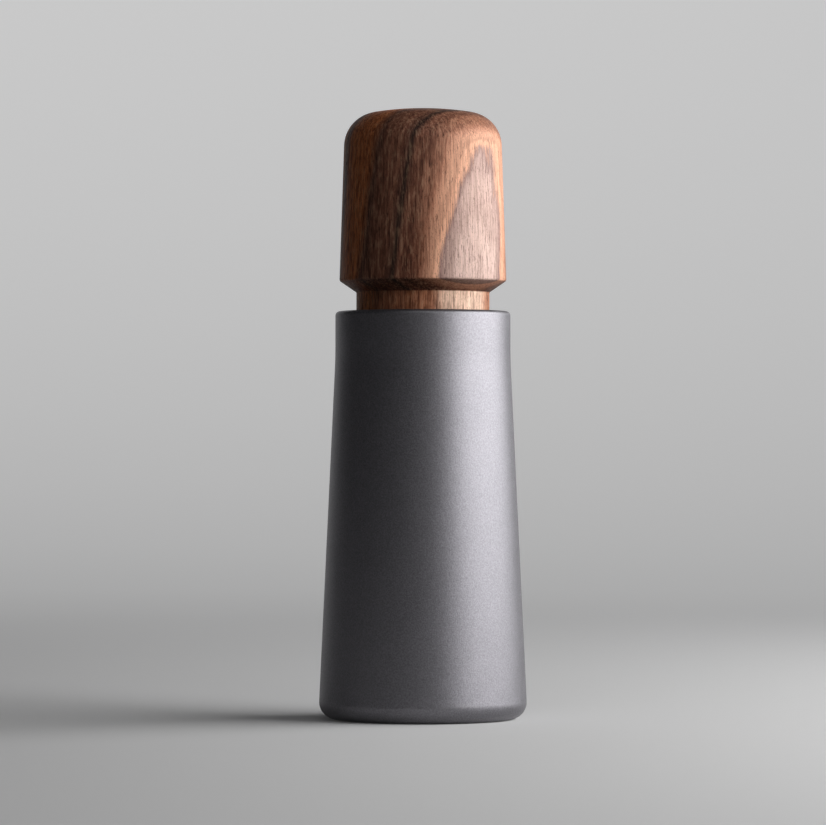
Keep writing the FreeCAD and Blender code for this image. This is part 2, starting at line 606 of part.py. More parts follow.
def rotor_core():
    barrel = flatted_barrel(CORE_R, CORE_R - CORE_FLAT_DEPTH, NUT_TOP, CORE_TOP)
    flange = rod(CORE_R + CORE_FLANGE_REACH, NUT_TOP, ROTOR_BOTTOM)
    return barrel.fuse(flange).cut(hexagon(CORE_HEX, NUT_TOP, CORE_TOP)).removeSplitter()


def rotor_burr():
    """Ceramic cone: fine saw teeth round its foot and twisted flutes above them."""
    band_top = ROTOR_BOTTOM + BAND_HEIGHT
    foot_r = STATOR_MOUTH_R - STATOR_DROP * BAND_FLARE / BAND_HEIGHT - COARSE_GAP
    shoulder_r = foot_r - BAND_FLARE
    top_r = ROTOR_BORE_R + ROTOR_RIM_WALL

    def fine(height, tip):
        tooth = [(tip, 0), (tip - FINE_TOOTH_DEPTH, SAW_SLOPE_SHARE)]
        return toothed_wire(height, ROTOR_TOOTH_COUNT, tooth)

    def feed(share):
        tip = shoulder_r + (top_r - shoulder_r) * share
        height = band_top + (ROTOR_TOP - band_top) * share
        points = flute(tip, tip - FLUTE_DEPTH, ROTOR_LAND_SHARE)
        return toothed_wire(height, ROTOR_FLUTE_COUNT, points, FLUTE_TWIST * share)

    band = Part.makeLoft([fine(ROTOR_BOTTOM, foot_r), fine(band_top, shoulder_r)], True, True)
    sections = [feed(k / (FLUTE_SECTION_COUNT - 1)) for k in range(FLUTE_SECTION_COUNT)]
    cone = Part.makeLoft(sections, True, True)
    bore = flatted_barrel(ROTOR_BORE_R, CORE_R - CORE_FLAT_DEPTH + SEAT_GAP, ROTOR_BOTTOM, ROTOR_TOP)
    return band.fuse(cone).cut(bore)


# Grind adjuster

def adjuster_wheel():
    radius = WHEEL_DIAMETER / 2
    disc = turned([(0, WHEEL_FLOOR_GAP), (radius, WHEEL_FLOOR_GAP, WHEEL_EDGE_ROUND),
                   (radius, WHEEL_TOP, WHEEL_EDGE_ROUND), (0, WHEEL_TOP)])
    scallop = Part.makeCylinder(SCALLOP_RADIUS, WHEEL_THICKNESS,
                                Vector(radius + SCALLOP_RADIUS - SCALLOP_DEPTH, 0, WHEEL_FLOOR_GAP))
    nut_seat = rod(NUT_R + SEAT_GAP, WHEEL_FLOOR_GAP + NUT_RECESS, WHEEL_TOP)
    opening = rod(NUT_R - NUT_KNURL_DEPTH - SEAT_GAP, WHEEL_FLOOR_GAP, WHEEL_TOP)
    return disc.cut(around(scallop, SCALLOP_COUNT) + [nut_seat, opening])


def adjuster_nut():
    """Knurled threaded insert, moulded into the wheel."""
    bottom = WHEEL_FLOOR_GAP + NUT_RECESS
    groove = [(NUT_R, 0), (NUT_R - NUT_KNURL_DEPTH, 1 / 2)]
    section = Part.Face(toothed_wire(bottom, NUT_KNURL_COUNT, groove))
    return section.extrude(Vector(0, 0, NUT_TOP - bottom)).cut(rod(NUT_BORE_R, bottom, NUT_TOP))


PIECES = [
    knob, knob_socket, socket_screws, neck_seal, grip_ring,
    body_shell, neck_bush, chamber_liner, mechanism_housing, outlet_ring, outlet_screws, stator_burr,
    bridge_bushing, spindle, drive_shaft, lower_thrust_washer, upper_thrust_washer, spindle_circlip,
    burr_spring, rotor_core, rotor_burr, adjuster_wheel, adjuster_nut,
]

os.makedirs("parts", exist_ok=True)
for piece in PIECES:
    shape = piece()
    if not shape.isValid():
        raise ValueError(piece.__name__ + " is not a valid solid")
    shape.exportStep("parts/" + piece.__name__ + ".step")
    print("%-22s %2d solid(s) %10.1f mm3" % (piece.__name__, len(shape.Solids), shape.Volume))
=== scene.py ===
import json
import math

import bmesh
import bpy
from mathutils import Matrix, Vector


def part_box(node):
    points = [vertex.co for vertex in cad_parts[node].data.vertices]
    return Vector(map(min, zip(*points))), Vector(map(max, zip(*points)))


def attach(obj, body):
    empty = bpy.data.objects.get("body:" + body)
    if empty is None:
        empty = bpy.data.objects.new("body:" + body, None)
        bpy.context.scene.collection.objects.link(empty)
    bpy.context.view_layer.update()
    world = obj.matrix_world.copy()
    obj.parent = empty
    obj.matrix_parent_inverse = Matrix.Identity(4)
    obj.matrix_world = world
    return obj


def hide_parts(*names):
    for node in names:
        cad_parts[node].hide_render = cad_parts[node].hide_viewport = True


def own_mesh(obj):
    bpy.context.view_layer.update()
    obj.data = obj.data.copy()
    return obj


# A pepper mill: a turned walnut knob on a tapered, bead-blasted aluminium body, with ceramic burrs inside.

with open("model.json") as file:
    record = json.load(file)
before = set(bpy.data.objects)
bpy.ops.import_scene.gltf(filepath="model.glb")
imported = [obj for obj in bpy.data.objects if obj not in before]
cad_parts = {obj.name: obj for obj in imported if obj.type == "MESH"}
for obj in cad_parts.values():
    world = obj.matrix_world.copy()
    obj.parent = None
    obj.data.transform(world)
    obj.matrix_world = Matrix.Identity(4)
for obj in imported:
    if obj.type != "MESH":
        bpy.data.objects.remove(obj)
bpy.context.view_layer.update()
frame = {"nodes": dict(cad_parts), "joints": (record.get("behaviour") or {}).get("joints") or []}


# Body shell.
# A tapered shell of turned aluminium, with a lip turned in at the rim and a flat foot at the base.
# It is bead blasted and anodised titanium grey, and everything else is carried inside it.

SHELL_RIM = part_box("body_shell")[1].z
SHELL_COLLAR_R = 0.0244
SHELL_BASE_R = 0.02915
SHELL_COLLAR = 0.0129               # the straight collar under the rim
SHELL_TAPER_TOP = SHELL_RIM - SHELL_COLLAR
SHELL_LIP_R = 0.01945
SHELL_LIP = 0.0022
SHELL_FOOT_R = 0.02175
SHELL_WALL = 0.0020
SHELL_BASE_ROUND = 0.0048
SHELL_TAPER_BLEND = 0.120
SHELL_RIM_ROUND = 0.0012
SHELL_EDGE_ROUND = 0.0003
ARC_STEP = math.radians(6)          # between two points of a rounding
ARC_LEAST_STEPS = 4
SHOWN_SEGMENTS = 256                # round a piece whose outline shows
TITANIUM_DARK = (0.156, 0.152, 0.165)
TITANIUM_LIGHT = (0.246, 0.239, 0.257)


def half_section(corners):
    """Points round a closed half section, from (radius, height) or (radius, height, rounding) corners."""
    places = [Vector(corner[:2]) for corner in corners]
    points = []
    for k, here in enumerate(places):
        rounding = corners[k][2] if len(corners[k]) > 2 else 0
        if not rounding:
            points.append(here)
            continue
        back = (places[k - 1] - here).normalized()
        onward = (places[(k + 1) % len(places)] - here).normalized()
        half_angle = back.angle(onward) / 2
        setback = rounding / math.tan(half_angle)
        centre = here + (back + onward).normalized() * rounding / math.sin(half_angle)
        start = here + back * setback - centre
        end = here + onward * setback - centre
        sweep = math.copysign(math.pi - 2 * half_angle, start.cross(end))
        steps = max(ARC_LEAST_STEPS, round(abs(sweep) / ARC_STEP))
        turns = [Matrix.Rotation(sweep * step / steps, 2) for step in range(steps + 1)]
        points += [centre + turn @ start for turn in turns]
    return points


def turned(name, points, segments):
    """Object of a closed half section turned about the mill's axis."""
    shape = bmesh.new()
    angles = [2 * math.pi * k / segments for k in range(segments)]
    rings = []
    for radius, height in points:
        circle = [(radius * math.cos(angle), radius * math.sin(angle), height) for angle in angles]
        rings.append([shape.verts.new(place) for place in circle])
    for ring, following in zip(rings, rings[1:] + rings[:1]):
        for k in range(segments):
            shape.faces.new((ring[k], ring[k - 1], following[k - 1], following[k]))
    bmesh.ops.remove_doubles(shape, verts=shape.verts, dist=1e-7)
    bare_edges = [edge for edge in shape.edges if not edge.link_faces]
    bmesh.ops.delete(shape, geom=bare_edges, context="EDGES")
    bmesh.ops.recalc_face_normals(shape, faces=shape.faces)
    mesh = bpy.data.meshes.new(name)
    shape.to_mesh(mesh)
    shape.free()
    return placed(name, mesh)


def placed(name, mesh, crease=math.radians(35)):
    """Object of a finished mesh, smooth but for its creases."""
    mesh.shade_smooth()
    mesh.set_sharp_from_angle(angle=crease)
    piece = bpy.data.objects.new(name, mesh)
    bpy.context.scene.collection.objects.link(piece)
    return piece


class Wire:
    """A socket of a node tree. Sums on it add Math nodes, and make() adds any other node."""

    def __init__(self, tree, socket=None):
        self.tree = tree
        self.socket = socket

    def make(self, kind, output, sockets=None, stops=None, **settings):
        """Adds a node: its settings first, then a ramp's stops, then the values or links of its sockets."""
        node = self.tree.nodes.new(kind)
        for name, value in settings.items():
            setattr(node, name, value)
        for k, (position, colour) in enumerate(stops or []):
            elements = node.color_ramp.elements
            element = elements[k] if k < 2 else elements.new(position)
            element.position = position
            element.color = (*colour, 1)
        for name, value in (sockets or {}).items():
            self.feed(node, name, value)
        found = next(s for s in node.outputs if output in (s.identifier, s.name))
        return Wire(self.tree, found)

    def feed(self, node, name, value):
        """Links a socket of a node to a wire, or to each wire of a list, or gives it a value."""
        socket = next(s for s in node.inputs if name in (s.identifier, s.name))
        if isinstance(value, Wire):
            self.tree.links.new(value.socket, socket)
        elif isinstance(value, list):
            for wire in value:
                self.tree.links.new(wire.socket, socket)
        elif socket.type == "RGBA" and len(value) == 3:
            socket.default_value = (*value, 1)
        else:
            socket.default_value = value

    def sum(self, operation, first, second=0.0):
        """One Math node, of any operation."""
        inputs = {"Value": first, "Value_001": second}
        return self.make("ShaderNodeMath", "Value", inputs, operation=operation)

    def __add__(self, other):
        return self.sum("ADD", self, other)

    def __radd__(self, other):
        return self.sum("ADD", other, self)

    def __sub__(self, other):
        return self.sum("SUBTRACT", self, other)

    def __rsub__(self, other):
        return self.sum("SUBTRACT", other, self)

    def __mul__(self, other):
        return self.sum("MULTIPLY", self, other)

    def __rmul__(self, other):
        return self.sum("MULTIPLY", other, self)

    def __truediv__(self, other):
        return self.sum("DIVIDE", self, other)

    def __pow__(self, other):
        return self.sum("POWER", self, other)

    def between(self, low, high):
        """0 below low, 1 above high, and smooth between them; high may be the lower one."""
        inputs = {"Value": self, "From Min": low, "From Max": high}
        return self.make("ShaderNodeMapRange", "Result", inputs, interpolation_type="SMOOTHSTEP")

    def mix(self, factor, first, second, blend="MIX"):
        """Colour that goes from first to second with the factor."""
        inputs = {"Factor_Float": factor, "A_Color": first, "B_Color": second}
        return self.make("ShaderNodeMix", "Result_Color", inputs, data_type="RGBA", blend_type=blend)

    def parts(self):
        """The three numbers of these coordinates."""
        return [self.make("ShaderNodeSeparateXYZ", axis, {"Vector": self}) for axis in "XYZ"]

    def stretched(self, x, y, z):
        """Coordinates times a number along each axis."""
        inputs = {"Vector": self, "Vector_001": (x, y, z)}
        return self.make("ShaderNodeVectorMath", "Vector", inputs, operation="MULTIPLY")

    def noise(self, scale, detail=2.0, roughness=0.5):
        """Noise on these coordinates, from 0 to 1."""
        inputs = {"Vector": self, "Scale": scale, "Detail": detail, "Roughness": roughness}
        return self.make("ShaderNodeTexNoise", "Fac", inputs)

    def bump(self, strength, distance):
        """Normals of this height."""
        inputs = {"Height": self, "Strength": strength, "Distance": distance}
        return self.make("ShaderNodeBump", "Normal", inputs)


def finish(name, recipe, attribute=None):
    """Material of a recipe, which gets object coordinates or an attribute and returns shader sockets."""
    material = bpy.data.materials.new(name)
    material.use_nodes = True
    shader = material.node_tree.nodes["Principled BSDF"]
    wire = Wire(material.node_tree)
    if attribute:
        place = wire.make("ShaderNodeAttribute", "Vector", attribute_name=attribute)
    else:
        place = wire.make("ShaderNodeTexCoord", "Object")
    for socket, value in recipe(place).items():
        wire.feed(shader, socket, value)
    return material


def blasted_aluminium(place):
    """Fine even pits of glass bead, under a faint clouding of the anodised colour."""
    pits = place.noise(5200, 2.0, 0.6)
    grains = place.noise(2300, 2.0, 0.6)
    clouds = place.noise(70, 3.0)
    shade = grains * 0.55 + clouds * 0.08 + pits * 0.37
    return {
        "Base Color": place.mix(shade.between(0.33, 0.67), TITANIUM_DARK, TITANIUM_LIGHT),
        "Metallic": 1.0,
        "Roughness": 0.40 + grains * 0.10 + clouds * 0.01,
        "Normal": (pits + grains * 0.8).bump(0.30, 0.00012),
    }


def fit(piece, material, body, slot, *nodes):
    """Gives a new piece its material, the body that it moves with, and the CAD nodes that it stands for."""
    piece.data.materials.clear()
    piece.data.materials.append(material)
    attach(piece, body)
    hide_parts(*nodes)


shell_slope = (SHELL_BASE_R - SHELL_COLLAR_R) / SHELL_TAPER_TOP
shell = turned("shell", half_section([
    (SHELL_FOOT_R, 0, SHELL_EDGE_ROUND), (SHELL_BASE_R, 0, SHELL_BASE_ROUND),
    (SHELL_COLLAR_R, SHELL_TAPER_TOP, SHELL_TAPER_BLEND), (SHELL_COLLAR_R, SHELL_RIM, SHELL_RIM_ROUND),
    (SHELL_LIP_R, SHELL_RIM, SHELL_EDGE_ROUND), (SHELL_LIP_R, SHELL_RIM - SHELL_LIP),
    (SHELL_COLLAR_R - SHELL_WALL, SHELL_RIM - SHELL_LIP),
    (SHELL_COLLAR_R - SHELL_WALL, SHELL_TAPER_TOP, SHELL_TAPER_BLEND),
    (SHELL_BASE_R - SHELL_WALL * (1 + shell_slope), SHELL_WALL, SHELL_BASE_ROUND - SHELL_WALL),
    (SHELL_FOOT_R, SHELL_WALL, SHELL_EDGE_ROUND),
]), SHOWN_SEGMENTS)
fit(shell, finish("blasted_aluminium", blasted_aluminium), "body", "shell_aluminium", "body_shell")


# Neck bush.
# An acetal ring with a collar, moulded in one piece, which the wooden neck turns in.
# It is pushed up inside the shell until its collar stands in the lip, and the liner holds it there.

ACETAL_DARK = (0.030, 0.030, 0.032)
ACETAL_LIGHT = (0.060, 0.059, 0.058)


def around_axis(place):
    """Coordinates that are the same all the way round the mill's axis, for marks of turning."""
    x, y, z = place.parts()
    radius = (x * x + y * y) ** 0.5
    return place.make("ShaderNodeCombineXYZ", "Vector", {"X": radius, "Y": z})


def acetal(place):
    """Slippery moulding with a silky skin, polished in rings where another piece turns on it."""
    skin = place.noise(1900, 3.0, 0.6)
    flow = place.stretched(1, 1, 0.3).noise(150, 3.0)
    rubbed = around_axis(place).noise(2600, 1.0)
    return {
        "Base Color": place.mix((skin * 0.4 + flow * 0.6).between(0.34, 0.66), ACETAL_DARK, ACETAL_LIGHT),
        "Roughness": 0.26 + skin * 0.16 + rubbed * 0.12,
        "Normal": (skin + rubbed * 0.6).bump(0.16, 0.00005),
    }


def coat(material, *nodes):
    """Gives CAD nodes, which keep their shape, a finer material."""
    for node in nodes:
        for slot in frame["nodes"][node].material_slots:
            slot.material = material


moulded_acetal = finish("moulded_acetal", acetal)
coat(moulded_acetal, "neck_bush")


# Chamber liner.
# A dark grey polypropylene tube that keeps the peppercorns off the metal, with a foot and two lug windows.
# It is pressed into the shell from below, and its upper end carries the neck bush.

LINER_DARK = (0.062, 0.063, 0.066)
LINER_LIGHT = (0.112, 0.112, 0.114)
PEPPER_DUST = (0.115, 0.070, 0.038)


def liner_plastic(place):
    """Waxy moulding with draw marks along its height and a little pepper dust."""
    skin = place.noise(2200, 2.0, 0.6)
    drawn = place.stretched(1, 1, 0.04).noise(620, 3.0, 0.6)
    clouds = place.noise(85, 3.0)
    dust = place.noise(950, 2.0, 0.7).between(0.62, 0.74) * clouds.between(0.40, 0.70)
    tone = place.mix((drawn * 0.5 + clouds * 0.5).between(0.33, 0.67), LINER_DARK, LINER_LIGHT)
    return {
        "Base Color": place.mix(dust * 0.7, tone, PEPPER_DUST),
        "Roughness": 0.40 + skin * 0.14 + dust * 0.25,
        "Normal": (skin * 0.7 + drawn * 0.5 + dust * 0.5).bump(0.20, 0.00006),
    }


coat(finish("moulded_liner", liner_plastic), "chamber_liner")


# Mechanism housing and outlet ring.
# Glass-filled nylon mouldings: a funnel with three arms and a hub, and the ring that closes it from below.
# Two lugs snap into the liner's windows, and three screws hold the ring, with the outer burr between.

NYLON_DARK = (0.015, 0.015, 0.016)
NYLON_LIGHT = (0.044, 0.044, 0.046)
FIBRE_GREY = (0.135, 0.132, 0.128)


def glass_filled_nylon(place):
    """Spark-eroded black skin, with short glass fibres that show as pale flecks along the flow."""
    skin = place.noise(3000, 2.0, 0.65)
    flow = place.noise(120, 3.0)
    flecks = place.stretched(1, 0.30, 1).noise(2600, 1.0, 0.4).between(0.63, 0.72)
    dust = place.noise(1150, 2.0, 0.7).between(0.64, 0.76) * flow.between(0.45, 0.70)
    tone = place.mix((skin * 0.5 + flow * 0.5).between(0.33, 0.67), NYLON_DARK, NYLON_LIGHT)
    tone = place.mix(flecks * 0.30, tone, FIBRE_GREY)
    return {
        "Base Color": place.mix(dust * 0.45, tone, PEPPER_DUST),
        "Roughness": 0.44 + skin * 0.18 - flecks * 0.08,
        "Normal": (skin + flecks * 0.3).bump(0.32, 0.00008),
    }


moulded_nylon = finish("moulded_nylon", glass_filled_nylon)
coat(moulded_nylon, "mechanism_housing", "outlet_ring")


# Burrs.
# An outer ring and an inner cone, pressed and fired from white ceramic with coarse flutes and fine teeth.
# The ring is clamped in the housing, and the cone is pushed onto the rotor core.

CERAMIC_PALE = (0.820, 0.800, 0.750)
CERAMIC_WARM = (0.690, 0.655, 0.585)
PEPPER_OIL = (0.620, 0.480, 0.330)


def ceramic(place):
    """Fired, unglazed body: close grain, warm clouds, and pepper oil and dust in its pores."""
    grain = place.noise(2800, 2.0, 0.6)
    clouds = place.noise(240, 3.0, 0.55)
    pores = place.noise(1700, 1.0, 0.4).between(0.64, 0.72)
    oil = place.stretched(1, 1, 0.5).noise(330, 3.0, 0.6).between(0.52, 0.78)
    tone = place.mix((grain * 0.3 + clouds * 0.7).between(0.32, 0.68), CERAMIC_WARM, CERAMIC_PALE)
    tone = place.mix(oil * 0.28, tone, PEPPER_OIL, "MULTIPLY")
    return {
        "Base Color": place.mix(pores * 0.55, tone, PEPPER_DUST),
        "Roughness": 0.42 + grain * 0.20 - oil * 0.10,
        "Normal": (grain - pores * 0.8).bump(0.30, 0.00007),
    }


coat(finish("fired_ceramic", ceramic), "stator_burr", "rotor_burr")


# Outlet screws.
# Three small flat-headed screws of plated steel, each with a rolled thread and a cross for the driver.
# They are driven up through the outlet ring into the housing, and no two crosses stop at the same angle.

SCREW_HEAD_RATIO = 1.8
SCREW_ROOT_RATIO = 0.80
SCREW_PITCH_RATIO = 0.42
CROSS_LENGTH_RATIO = 1.15           # the driver's cross, to the head's radius
CROSS_WIDTH_RATIO = 0.24
CROSS_DEPTH_RATIO = 0.30
OUTLET_SCREW_SHANK_R = 0.0009
PLATED_DARK = (0.400, 0.395, 0.385)
PLATED_LIGHT = (0.640, 0.635, 0.620)


def raised(wire, height):
    """Geometry moved up by a height."""
    up = wire.make("ShaderNodeCombineXYZ", "Vector", {"Z": height})
    return wire.make("GeometryNodeTransform", "Geometry", {"Geometry": wire, "Translation": up})


def screw_set(wire, size):
    """Screws on a circle about the axis, with their heads down."""
    shank_r = size["Shank_radius"]
    head_r = shank_r * SCREW_HEAD_RATIO
    root_r = shank_r * SCREW_ROOT_RATIO
    head_depth = head_r - root_r
    pitch = shank_r * 2 * SCREW_PITCH_RATIO
    run = size["Length"] - head_depth
    head = wire.make("GeometryNodeMeshCone", "Mesh", {
        "Vertices": 48, "Radius Top": root_r, "Radius Bottom": head_r, "Depth": head_depth})
    shank = wire.make("GeometryNodeMeshCylinder", "Mesh", {"Vertices": 32, "Radius": root_r, "Depth": run})
    shank = raised(shank, head_depth + run / 2)
    crest = wire.make("GeometryNodeCurveSpiral", "Curve", {
        "Resolution": 32, "Rotations": run / pitch - 1, "Start Radius": root_r, "End Radius": root_r,
        "Height": run - pitch, "Reverse": True})
    ridge = wire.make("GeometryNodeCurvePrimitiveCircle", "Curve", {
        "Resolution": 4, "Radius": shank_r - root_r})
    thread = wire.make("GeometryNodeCurveToMesh", "Mesh", {
        "Curve": raised(crest, head_depth + pitch / 2), "Profile Curve": ridge, "Fill Caps": True})
    long = head_r * CROSS_LENGTH_RATIO
    wide = head_r * CROSS_WIDTH_RATIO
    deep = head_r * CROSS_DEPTH_RATIO * 2
    bars = []
    for x, y in ((long, wide), (wide, long)):
        bar_size = wire.make("ShaderNodeCombineXYZ", "Vector", {"X": x, "Y": y, "Z": deep})
        bars.append(wire.make("GeometryNodeMeshCube", "Mesh", {"Size": bar_size}))
    head = wire.make("GeometryNodeMeshBoolean", "Mesh", {
        "Mesh 1": head, "Mesh 2": bars, "Self Intersection": True}, operation="DIFFERENCE", solver="EXACT")
    screw = wire.make("GeometryNodeJoinGeometry", "Geometry", {"Geometry": [head, shank, thread]})
    own_place = wire.make("GeometryNodeInputPosition", "Position")
    screw = wire.make("GeometryNodeStoreNamedAttribute", "Geometry", {
        "Geometry": screw, "Name": "own_place", "Value": own_place}, data_type="FLOAT_VECTOR")
    circle = wire.make("GeometryNodeMeshCircle", "Mesh", {
        "Vertices": size["Count"], "Radius": size["Circle_radius"]})
    stop = wire.make("FunctionNodeRandomValue", "Value_001", {
        "Min_001": 0.0, "Max_001": math.pi / 2, "Seed": 4})
    spin = wire.make("ShaderNodeCombineXYZ", "Vector", {"Z": stop})
    screws = wire.make("GeometryNodeInstanceOnPoints", "Instances", {
        "Points": circle, "Instance": screw, "Rotation": spin})
    first = wire.make("ShaderNodeCombineXYZ", "Vector", {"Z": size["First_angle"]})
    screws = wire.make("GeometryNodeTransform", "Geometry", {"Geometry": screws, "Rotation": first})
    return raised(screws, size["Head_face"])


def grown(name, material, recipe, **sizes):
    """Object of a node tree, whose recipe gets the sizes as named inputs and returns the geometry."""
    tree = bpy.data.node_groups.new(name, "GeometryNodeTree")
    tree.interface.new_socket("Geometry", in_out="OUTPUT", socket_type="NodeSocketGeometry")
    holder = bpy.data.objects.new(name + "_holder", bpy.data.meshes.new(name + "_holder"))
    bpy.context.scene.collection.objects.link(holder)
    modifier = holder.modifiers.new(name, "NODES")
    kinds = {int: "NodeSocketInt", float: "NodeSocketFloat"}
    inputs = [tree.interface.new_socket(size, in_out="INPUT", socket_type=kinds[type(value)])
              for size, value in sizes.items()]
    wire = Wire(tree)
    entry = tree.nodes.new("NodeGroupInput")
    grown_shape = recipe(wire, {size: Wire(tree, entry.outputs[size]) for size in sizes})
    plain = wire.make("GeometryNodeRealizeInstances", "Geometry", {"Geometry": grown_shape})
    dressed = wire.make("GeometryNodeSetMaterial", "Geometry", {"Geometry": plain, "Material": material})
    wire.feed(tree.nodes.new("NodeGroupOutput"), "Geometry", dressed)
    modifier.node_group = tree
    for socket, value in zip(inputs, sizes.values()):
        modifier[socket.identifier] = value
    evaluated = holder.evaluated_get(bpy.context.evaluated_depsgraph_get())
    mesh = bpy.data.meshes.new_from_object(evaluated)
    holder.modifiers.remove(modifier)
    bpy.data.objects.remove(holder)
    return placed(name, mesh)


def plated_steel(own_place):
    """Bright zinc plate with turning rings on the head and darker oil in its dips."""
    rings = around_axis(own_place).noise(5200, 2.0)
    clouds = own_place.noise(900, 3.0)
    shade = (rings * 0.5 + clouds * 0.5).between(0.32, 0.68)
    return {
        "Base Color": own_place.mix(shade, PLATED_DARK, PLATED_LIGHT),
        "Metallic": 1.0,
        "Roughness": 0.22 + rings * 0.16 + clouds * 0.10,
        "Normal": rings.bump(0.12, 0.00003),
    }


screw_steel = finish("plated_steel", plated_steel, "own_place")
low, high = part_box("outlet_screws")
outlet_screws = grown("outlet_screw_set", screw_steel, screw_set, Shank_radius=OUTLET_SCREW_SHANK_R,
                      Length=high.z - low.z, Circle_radius=-low.x - OUTLET_SCREW_SHANK_R * SCREW_HEAD_RATIO,
                      Count=3, First_angle=math.radians(60), Head_face=low.z)
fit(outlet_screws, screw_steel, "body", "steel", "outlet_screws")


# Bridge bushing.
# A flanged bearing, turned from brass bar and left bright, which carries the spindle.
# It is pressed up into the hub of the housing, with its flange below.

BRASS_DARK = (0.560, 0.365, 0.125)
BRASS_LIGHT = (0.830, 0.640, 0.300)
BRASS_TARNISH = (0.300, 0.170, 0.070)


def brass(place):
    """Turned brass: feed marks round the axis, and a little brown tarnish."""
    marks = around_axis(place).noise(6500, 2.0)
    tarnish = place.noise(420, 3.0, 0.6)
    tone = place.mix((marks * 0.4 + tarnish * 0.6).between(0.30, 0.66), BRASS_DARK, BRASS_LIGHT)
    return {
        "Base Color": place.mix(tarnish.between(0.60, 0.80) * 0.4, tone, BRASS_TARNISH),
        "Metallic": 1.0,
        "Roughness": 0.20 + marks * 0.20 + tarnish * 0.10,
        "Normal": marks.bump(0.30, 0.00003),
    }


turned_brass = finish("turned_brass", brass)
coat(turned_brass, "bridge_bushing")


# Spindle and thrust washers.
# The spindle is turned from stainless steel: a threaded stud below, a hexagon, a collar and a journal.
# It runs in the bushing, between two washers that are punched from sheet and tumbled.

STEEL_DARK = (0.420, 0.420, 0.415)
STEEL_LIGHT = (0.660, 0.655, 0.645)
THREAD_GRIME = (0.160, 0.150, 0.140)
STUD_R = 0.0025
STUD_LENGTH = 0.0074                # from the spindle's lower end to its hexagon
THREAD_PITCH = 0.0008
THREAD_DEPTH = 0.00049
THREAD_TOOL_R = 0.0004              # the tool that cuts the thread, from its middle to its point
BLANK_WELD = 0.000001               # joins the loose triangles of the plain spindle
CUT_WELD = 0.000005                 # closes the slivers that the cut leaves


def threaded(wire, size):
    """The spindle, with a right-hand thread cut round its stud by a pointed tool."""
    tool_r = size["Stud_radius"] - size["Thread_depth"] + THREAD_TOOL_R
    path = wire.make("GeometryNodeCurveSpiral", "Curve", {
        "Resolution": 48, "Rotations": size["Length"] / size["Pitch"], "Start Radius": tool_r,
        "End Radius": tool_r, "Height": size["Length"], "Reverse": True})
    path = raised(path, size["Bottom"])
    path = wire.make("GeometryNodeSetCurveNormal", "Curve", {"Curve": path}, mode="Z_UP")
    path = wire.make("GeometryNodeSetCurveTilt", "Curve", {"Curve": path, "Tilt": math.pi})
    point = wire.make("GeometryNodeCurvePrimitiveCircle", "Curve", {
        "Resolution": 3, "Radius": THREAD_TOOL_R})
    groove = wire.make("GeometryNodeCurveToMesh", "Mesh", {
        "Curve": path, "Profile Curve": point, "Fill Caps": True})
    blank = wire.make("GeometryNodeObjectInfo", "Geometry", {"Object": frame["nodes"]["spindle"]})
    blank = wire.make("GeometryNodeMergeByDistance", "Geometry", {
        "Geometry": blank, "Distance": BLANK_WELD})
    blank = wire.make("GeometryNodeRemoveAttribute", "Geometry", {
        "Geometry": blank, "Name": "custom_normal"})
    cut = wire.make("GeometryNodeMeshBoolean", "Mesh", {"Mesh 1": blank, "Mesh 2": groove},
                    operation="DIFFERENCE", solver="EXACT")
    cut = wire.make("GeometryNodeMergeByDistance", "Geometry", {"Geometry": cut, "Distance": CUT_WELD})
    return wire.make("GeometryNodeTriangulate", "Mesh", {"Mesh": cut}, ngon_method="BEAUTY")


def stainless(place):
    """Turned steel: feed marks round the axis, faint clouds, and grime at the bottom of the thread."""
    ringed = around_axis(place)
    radius = ringed.parts()[0]
    root_r = STUD_R - THREAD_DEPTH
    grime = radius.between(STUD_R, root_r) * radius.between(root_r * 0.95, root_r)
    marks = ringed.noise(7000, 2.0)
    clouds = place.noise(380, 3.0)
    tone = place.mix((marks * 0.5 + clouds * 0.5).between(0.32, 0.68), STEEL_DARK, STEEL_LIGHT)
    return {
        "Base Color": place.mix(grime * 0.6, tone, THREAD_GRIME),
        "Metallic": 1.0,
        "Roughness": 0.18 + marks * 0.18 + clouds * 0.08,
        "Normal": marks.bump(0.30, 0.00003),
    }


turned_stainless = finish("turned_stainless", stainless)
coat(turned_stainless, "lower_thrust_washer", "upper_thrust_washer")
stud_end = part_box("spindle")[0].z
spindle = grown("threaded_spindle", turned_stainless, threaded, Stud_radius=STUD_R, Length=STUD_LENGTH,
                Pitch=THREAD_PITCH, Thread_depth=THREAD_DEPTH, Bottom=stud_end - THREAD_PITCH)
fit(spindle, turned_stainless, "drive", "steel", "spindle")


# Circlip and burr spring.
# Both are oil-tempered spring steel: a ring sprung into the spindle's groove, and a coil of round wire.
# The coil stands on the rotor core, with closed ends, and presses the rotor down from the spindle's collar.

TEMPERED_DARK = (0.160, 0.150, 0.145)
TEMPERED_LIGHT = (0.360, 0.335, 0.305)
TEMPERED_STRAW = (0.300, 0.190, 0.100)
SPRING_WIRE_R = 0.00045
SPRING_TURNS = 3.5
SPRING_CLOSED = 0.75                # how far the ends close up: 0 is an even pitch


def tempered_steel(place):
    """Dark oxide with straw-brown clouds, drawn out round the axis."""
    drawn = around_axis(place).noise(4200, 2.0)
    clouds = place.noise(520, 3.0, 0.6)
    tone = place.mix((drawn * 0.5 + clouds * 0.5).between(0.32, 0.68), TEMPERED_DARK, TEMPERED_LIGHT)
    return {
        "Base Color": place.mix(clouds.between(0.56, 0.74) * 0.35, tone, TEMPERED_STRAW),
        "Metallic": 1.0,
        "Roughness": 0.28 + drawn * 0.18 + clouds * 0.10,
        "Normal": drawn.bump(0.22, 0.00003),
    }


